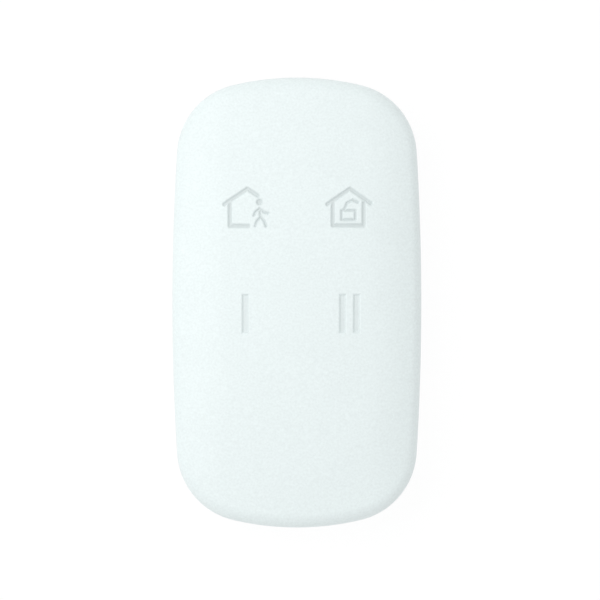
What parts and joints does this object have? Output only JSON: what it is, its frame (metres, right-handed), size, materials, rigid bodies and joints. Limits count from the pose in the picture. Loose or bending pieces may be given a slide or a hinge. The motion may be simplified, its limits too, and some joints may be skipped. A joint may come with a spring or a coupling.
{
  "type": "alarm key fob",
  "caption": "Slim white alarm key fob with a seamless soft front, sunken button marks, press keys behind it and a sliding battery door.",
  "frame": {"origin": "middle of the flat rear face, which the fob rests on", "axes": "+Z out of the front face with the marks, +Y along the body towards the strap end, +X to the right seen from the front"},
  "size_m": [0.036, 0.065, 0.0128],
  "materials": {
    "soft_skin": "fine matt soft-touch white",
    "frame_plastic": "moulded, fine satin",
    "cover_plastic": "moulded, fine spark texture",
    "key_plastic": "moulded, satin",
    "stem_plastic": "moulded, satin",
    "dome_steel": "stamped spring steel",
    "switch_plastic": "moulded, satin",
    "switch_steel": "stamped, tinned",
    "terminal_metal": "tinned",
    "board_laminate": "green solder mask on laminate",
    "chip_body": "moulded epoxy",
    "crystal_can": "seam-welded lid",
    "tantalum_body": "moulded epoxy",
    "capacitor_ceramic": "fired ceramic",
    "resistor_ceramic": "fired ceramic with overglaze",
    "led_resin": "clear resin on white ceramic",
    "pipe_clear": "clear moulded plastic",
    "antenna_copper": "enamelled copper wire",
    "contact_metal": "nickel-plated spring strip",
    "cell_steel": "bright drawn steel",
    "seal_plastic": "moulded ring",
    "cathode_mix": "pressed powder",
    "separator_felt": "non-woven felt",
    "anode_metal": "soft foil disc",
    "pad_foam": "closed-cell foam",
    "screw_steel": "zinc plated, dark",
    "bar_steel": "drawn steel pin"
  },
  "bodies": {
    "case": {"front_skin": "soft_skin", "front_frame": "frame_plastic", "rear_cover": "cover_plastic", "strap_bar": "bar_steel", "case_screws": "screw_steel", "circuit_board": "board_laminate", "switch_bases": "switch_plastic", "switch_covers": "switch_steel", "switch_terminals": "terminal_metal", "away_dome": "dome_steel", "disarm_dome": "dome_steel", "first_dome": "dome_steel", "second_dome": "dome_steel", "radio_chip": "chip_body", "crystal": "crystal_can", "bulk_capacitor": "tantalum_body", "chip_capacitors": "capacitor_ceramic", "chip_resistors": "resistor_ceramic", "status_led": "led_resin", "light_pipe": "pipe_clear", "antenna_coil": "antenna_copper", "negative_contact": "contact_metal", "positive_contact": "contact_metal", "coin_cell_can": "cell_steel", "coin_cell_seal": "seal_plastic", "coin_cell_cap": "cell_steel", "cell_cathode": "cathode_mix", "cell_separator": "separator_felt", "cell_anode": "anode_metal"},
    "away_button": {"away_key": "key_plastic", "away_stem": "stem_plastic"},
    "disarm_button": {"disarm_key": "key_plastic", "disarm_stem": "stem_plastic"},
    "first_button": {"first_key": "key_plastic", "first_stem": "stem_plastic"},
    "second_button": {"second_key": "key_plastic", "second_stem": "stem_plastic"},
    "door": {"battery_door": "cover_plastic", "door_pad": "pad_foam"}
  },
  "joints": [
    {"name": "away_press", "type": "slide", "parent": "case", "child": "away_button", "axis": [0, 0, -1], "range_m": [0, 0.00025], "stiffness_N_per_m": 5000, "deforming": ["front_skin", "away_dome"]},
    {"name": "disarm_press", "type": "slide", "parent": "case", "child": "disarm_button", "axis": [0, 0, -1], "range_m": [0, 0.00025], "stiffness_N_per_m": 5000, "deforming": ["front_skin", "disarm_dome"]},
    {"name": "first_press", "type": "slide", "parent": "case", "child": "first_button", "axis": [0, 0, -1], "range_m": [0, 0.00025], "stiffness_N_per_m": 5000, "deforming": ["front_skin", "first_dome"]},
    {"name": "second_press", "type": "slide", "parent": "case", "child": "second_button", "axis": [0, 0, -1], "range_m": [0, 0.00025], "stiffness_N_per_m": 5000, "deforming": ["front_skin", "second_dome"]},
    {"name": "door_slide", "type": "slide", "parent": "case", "child": "door", "axis": [0, -1, 0], "range_m": [0, 0.036]}
  ]
}
